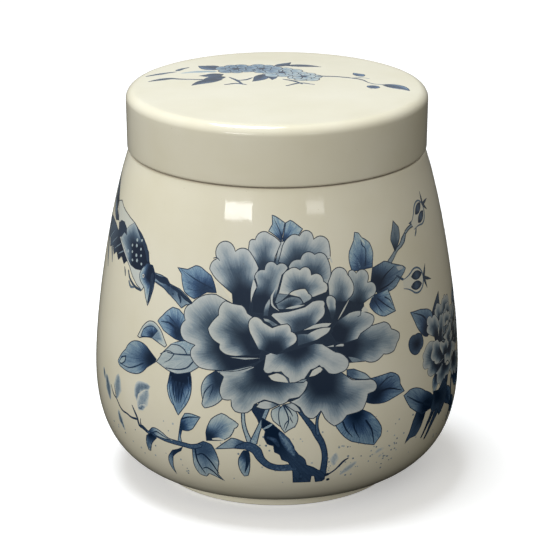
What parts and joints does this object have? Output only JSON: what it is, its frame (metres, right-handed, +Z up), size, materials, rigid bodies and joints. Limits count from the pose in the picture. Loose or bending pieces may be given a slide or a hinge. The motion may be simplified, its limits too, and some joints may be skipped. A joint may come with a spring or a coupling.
{
  "type": "apothecary jar",
  "caption": "Pot-bellied glazed porcelain storage jar with a flat lift-off cap lid sealed by a silicone ring, blue floral transfer decoration.",
  "frame": {"origin": "centre of the foot ring, on the surface that the jar stands on", "axes": "+Z up through the jar and its lid, the side with the large flower faces -Y"},
  "size_m": [0.12, 0.12, 0.13],
  "materials": {
    "porcelain": "warm ivory gloss glaze over white porcelain, unglazed where it stands and where the lid meets the jar",
    "silicone": "milky white satin silicone",
    "cobalt_print": "cobalt blue transfer print fired under a gloss glaze"
  },
  "bodies": {
    "jar": {"jar_body": "porcelain"},
    "seal": {"seal_ring": "silicone"},
    "lid": {"lid": "porcelain"}
  },
  "joints": [
    {"name": "lid_lift", "type": "slide", "parent": "jar", "child": "seal", "axis": [0, 0, 1], "range_m": [0, 0.06]},
    {"name": "lid_turn", "type": "hinge", "parent": "seal", "child": "lid", "pos_m": [0, 0, 0.12], "axis": [0, 0, 1], "continuous": true}
  ]
}
